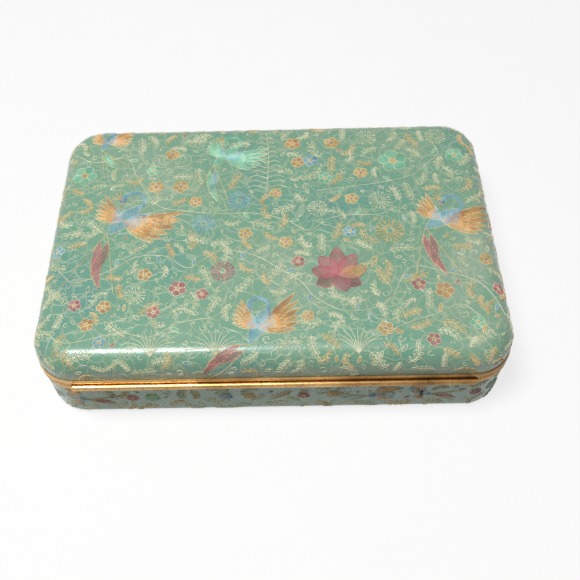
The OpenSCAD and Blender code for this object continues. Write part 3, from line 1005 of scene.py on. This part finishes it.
def thread_tree():
    tree = bpy.data.node_groups.new("lay_threads", "GeometryNodeTree")
    for name, way, kind in [("Lines", "INPUT", "Geometry"), ("Thickness", "INPUT", "Float"),
                            ("Silk", "INPUT", "Material"), ("Threads", "OUTPUT", "Geometry")]:
        tree.interface.new_socket(name, in_out=way, socket_type="NodeSocket" + kind)
    chain = [tree.nodes.new(kind) for kind in (
        "NodeGroupInput", "GeometryNodeMeshToCurve", "GeometryNodeCurveToMesh",
        "GeometryNodeRealizeInstances", "GeometryNodeSetMaterial", "NodeGroupOutput")]
    for node, after in zip(chain, chain[1:]):
        tree.links.new(node.outputs[0], after.inputs[0])
    start, sweep, paint = chain[0], chain[2], chain[4]
    profile = tree.nodes.new("GeometryNodeCurvePrimitiveCircle")
    profile.inputs["Resolution"].default_value = PROFILE_SIDES
    sweep.inputs["Fill Caps"].default_value = True
    tree.links.new(start.outputs["Thickness"], profile.inputs["Radius"])
    tree.links.new(profile.outputs["Curve"], sweep.inputs["Profile Curve"])
    tree.links.new(start.outputs["Silk"], paint.inputs["Material"])
    return tree


THREADS = thread_tree()
print("node group", THREADS.name, "has", len(THREADS.nodes), "nodes")

# %% [markdown]
# A float lies on the cloth and is pressed into it a little. The cover's rule places each
# point, so threads follow shoulders and corners exactly, where a shrinkwrap only comes
# near. Each body and colour gets one object, or several where its threads are many.

# %% Lay the threads
THREAD_R = 0.2
FINE_R = 0.16  # the cream and straw outlines
THREAD_SINK = 0.09  # how deep a thread lies in the cloth
POINTS_MAX = 15000  # a piece stays under 200,000 triangles


def set_input(modifier, name, value):
    for item in modifier.node_group.interface.items_tree:
        if item.name == name and item.in_out == "INPUT":
            modifier[item.identifier] = value


def bundles(paths):
    """Splits a colour's lines into bundles of limited length."""
    bundle = []
    points = 0
    for path in paths:
        bundle.append(path)
        points += len(path)
        if points > POINTS_MAX:
            yield bundle
            bundle = []
            points = 0
    if bundle:
        yield bundle


def lay(loom, place, body):
    work_list = [(colour + "_" + str(k + 1), colour, bundle)
                 for colour, paths in loom.threads.items()
                 for k, bundle in enumerate(bundles(paths))]
    for label, colour, paths in work_list:
        radius = FINE_R if colour in ("cream", "straw") else THREAD_R
        vertices = []
        edges = []
        for path in paths:
            first = len(vertices)
            for p in path:
                spot, facing = place(*p)
                vertices.append(tuple((spot + facing * (radius - THREAD_SINK)) * MM))
            edges += [(k, k + 1) for k in range(first, len(vertices) - 1)]
        mesh = bpy.data.meshes.new("lines")
        mesh.from_pydata(vertices, edges, [])
        piece = put(body + "_threads_" + label, mesh)
        sweep = modify(piece, "NODES", node_group=THREADS)
        set_input(sweep, "Thickness", radius * MM)
        set_input(sweep, "Silk", SILKS[colour])
        bake_modifiers(piece)
        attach(piece, body)
        print(piece.name, len(paths), "threads,", len(piece.data.polygons), "faces")


lay(lid_loom, lid_point, "lid")
lay(base_loom, base_point, "base")

# %% [markdown]
# Polished brass shows every facet. A CAD node's mesh is loose triangles, and smoothing
# them all would blur the edges too. A merged copy of each brass part and of the mirror
# replaces its node instead, smooth across round faces and crisp at the edges.

# %% Brass parts and mirror
MERGE = 0.002  # points closer than this become one, in mm
SLIVER = 0.001
METAL_EDGE = 32  # steeper edges stay crisp, in degrees


def merged_copy(node):
    def merge(work):
        bmesh.ops.remove_doubles(work, verts=work.verts[:], dist=MERGE * MM)
        bmesh.ops.dissolve_degenerate(work, edges=work.edges[:], dist=SLIVER * MM)
    piece = put(node + "_finished", nodes[node].data.copy())
    edit_mesh(piece, merge)
    return piece


def crisp(piece, degrees):
    piece.data.polygons.foreach_set("use_smooth", [True] * len(piece.data.polygons))
    piece.data.set_sharp_from_angle(angle=math.radians(degrees))


for node in [n for n, slot in SLOT_OF.items() if slot in ("brass", "mirror")]:
    piece = merged_copy(node)
    crisp(piece, METAL_EDGE)
    swap_in(piece, node)

# %% [markdown]
# The ring rolls are satin round a soft core. Scaled up, they would only be larger; a short
# cloth simulation with pressure inside makes them plump. It needs even faces, so a voxel
# remesh comes first, and a cap keeps the rolls off each other.

# %% Ring rolls
VOXEL = 0.9
CAP = 0.25  # no point of a roll moves further, in mm
PRESSURE = 4.0
FRAMES = 20
ROLLS = ["ring_roll_" + str(k) for k in range(1, 6)]


def stuff(node):
    """Swells a cushion from inside."""
    piece = merged_copy(node)
    modify(piece, "REMESH", mode="VOXEL", voxel_size=VOXEL * MM)
    bake_modifiers(piece)
    start = [v.co.copy() for v in piece.data.vertices]
    cloth = modify(piece, "CLOTH")
    cloth.settings.use_pressure = True
    cloth.settings.uniform_pressure_force = PRESSURE
    cloth.settings.effector_weights.gravity = 0
    cloth.settings.quality = 5
    cloth.point_cache.frame_start = 1
    cloth.point_cache.frame_end = FRAMES
    for step in range(1, FRAMES + 1):
        bpy.context.scene.frame_set(step)
    bake_modifiers(piece)
    bpy.context.scene.frame_set(1)
    for v, first in zip(piece.data.vertices, start):
        moved = v.co - first
        if moved.length > CAP * MM:
            v.co = first + moved.normalized() * CAP * MM
    modify(piece, "SMOOTH", iterations=4)
    modify(piece, "SUBSURF", levels=1, render_levels=1)
    bake_modifiers(piece)
    crisp(piece, 180)
    return piece


for node in ROLLS:
    swap_in(stuff(node), node)

# %% [markdown]
# Linings, dividers and floor pad are card or wadding wrapped in satin. Their faces are
# flat, so a simulation would gain little. What the CAD model lacks is the round of cloth at
# the edges, and a small bevel gives that.

# %% Linings and dividers
BEVEL = 0.35
FOLD = 50  # steeper edges get the bevel, in degrees
SATIN_EDGE = 45
SATIN = ["base_wall_lining", "lid_wall_lining", "cross_divider_left", "cross_divider_right",
         "long_divider", "ring_roll_card", "lid_panel", "base_floor_pad"]


def soften(node):
    piece = merged_copy(node)
    modify(piece, "BEVEL", width=BEVEL * MM, segments=3, limit_method="ANGLE",
           angle_limit=math.radians(FOLD))
    bake_modifiers(piece)
    crisp(piece, SATIN_EDGE)
    return piece


for node in SATIN:
    swap_in(soften(node), node)

# %% [markdown]
# A strip of satin covers the inside of the hinge, glued to both linings. The real one lies
# in a fold when shut and is pulled flat as the lid opens. Here it is a flat sheet at rest,
# set just behind the CAD strip's face.

# %% Satin strip over the hinge
ROWS = 16
STRIP_COLUMNS = 100
STRIP_T = 0.3
STRIP_SET_BACK = 0.1  # behind the CAD strip's face, in mm
low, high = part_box("hinge_strip")
strip_vertices = []
for row in range(ROWS + 1):
    z = low.z + (high.z - low.z) * row / ROWS
    for k in range(STRIP_COLUMNS + 1):
        x = low.x + (high.x - low.x) * k / STRIP_COLUMNS
        strip_vertices.append(Vector((x, high.y - STRIP_SET_BACK * MM, z)) / MM)
faces = [(a, d, c, b) for a, b, c, d in grid(ROWS + 1, STRIP_COLUMNS + 1)]
satin_strip = add_piece("satin_strip", strip_vertices, faces)
clothe(satin_strip, BY_SLOT["lining_satin"])
thicken(satin_strip, STRIP_T)
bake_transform(satin_strip)
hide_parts("hinge_strip")
print("strip is", round((high.z - low.z) / MM, 1), "mm high")

# %% [markdown]
# The photograph has soft light from above and a warm gleam on the left end. A sun would
# give hard shadows, so there are two round lamps: a large one high above and a small warm
# one low on the left.

# %% Lamps


def lamp(name, spot, aim, size, watts, colour=(1, 1, 1)):
    data = bpy.data.lights.new(name, "AREA")
    data.shape = "DISK"
    data.size = size
    data.energy = watts
    data.color = colour
    thing = put(name, data)
    thing.location = spot
    thing.rotation_euler = (Vector(spot) - Vector(aim)).to_track_quat("Z", "Y").to_euler()


lamp("overhead", (-0.2, -0.13, 0.85), (0, 0, 0.03), 0.3, 7.0)
lamp("low_left", (-0.45, -0.3, 0.1), (-0.07, -0.05, 0.02), 0.12, 0.13, (1, 0.84, 0.3))
print(len(bpy.data.lights), "lamps")

# %% [markdown]
# A plain white world would light the walls as brightly as the top. This one is white only
# to the camera, in polished metal and through glass. The cloth gets a dim light from it,
# which leaves upright faces nearer to the darkness they have in the photograph.

# %% Sky
SKY_LIGHT = 0.12
sky = Recipe(bpy.data.worlds.new("sky"))
ray = sky.add("LightPath").outputs
seen = sky.calc("MAXIMUM", ray["Is Camera Ray"], ray["Is Glossy Ray"])
white = sky.calc("MAXIMUM", seen, ray["Is Transmission Ray"])
level = sky.add("MapRange", i0=white, i3=SKY_LIGHT, i4=1.0)
glow = sky.add("Background", Strength=level.outputs[0])
bpy.context.scene.world = sky.finish(glow.outputs[0], "OutputWorld")
print("the sky lights the cloth at", SKY_LIGHT)

# %% [markdown]
# The case stands on white paper that fades into the background. As with the sky, the
# camera sees mostly a white glow with a little shading, which leaves a faint shadow, and
# the cloth is lit by a dim grey.

# %% Floor
FLOOR = 3.0  # half its width, in metres
SHADING = 0.22  # how much of the shadow shows
SPECKS = 30.0


def floor_material():
    r = Recipe(bpy.data.materials.new("pale_floor"))
    ray = r.add("LightPath")
    place = r.add("TexCoord").outputs[3]
    speck = r.noise(place, SPECKS)
    tone = r.ramp(speck, [(0.3, grey(0.9)), (0.7, grey(0.93))])
    seen_white = r.add("Emission", Color=grey(1), Strength=1.0)
    shaded = r.add("BsdfDiffuse", Color=tone)
    bright = r.add("MixShader", i0=SHADING, i1=seen_white.outputs[0], i2=shaded.outputs[0])
    dim = r.add("BsdfDiffuse", Color=grey(0.24))
    seen_by = r.calc("MAXIMUM", ray.outputs["Is Camera Ray"], ray.outputs["Is Glossy Ray"])
    both = r.add("MixShader", i0=seen_by, i1=dim.outputs[0], i2=bright.outputs[0])
    return r.finish(both.outputs[0])


floor_mesh = bpy.data.meshes.new("floor")
floor_mesh.from_pydata([(-FLOOR, -FLOOR, 0), (FLOOR, -FLOOR, 0), (FLOOR, FLOOR, 0),
                        (-FLOOR, FLOOR, 0)], [], [(0, 1, 2, 3)])
floor = put("floor", floor_mesh)
clothe(floor, floor_material())
print("floor is", 2 * FLOOR, "m wide")
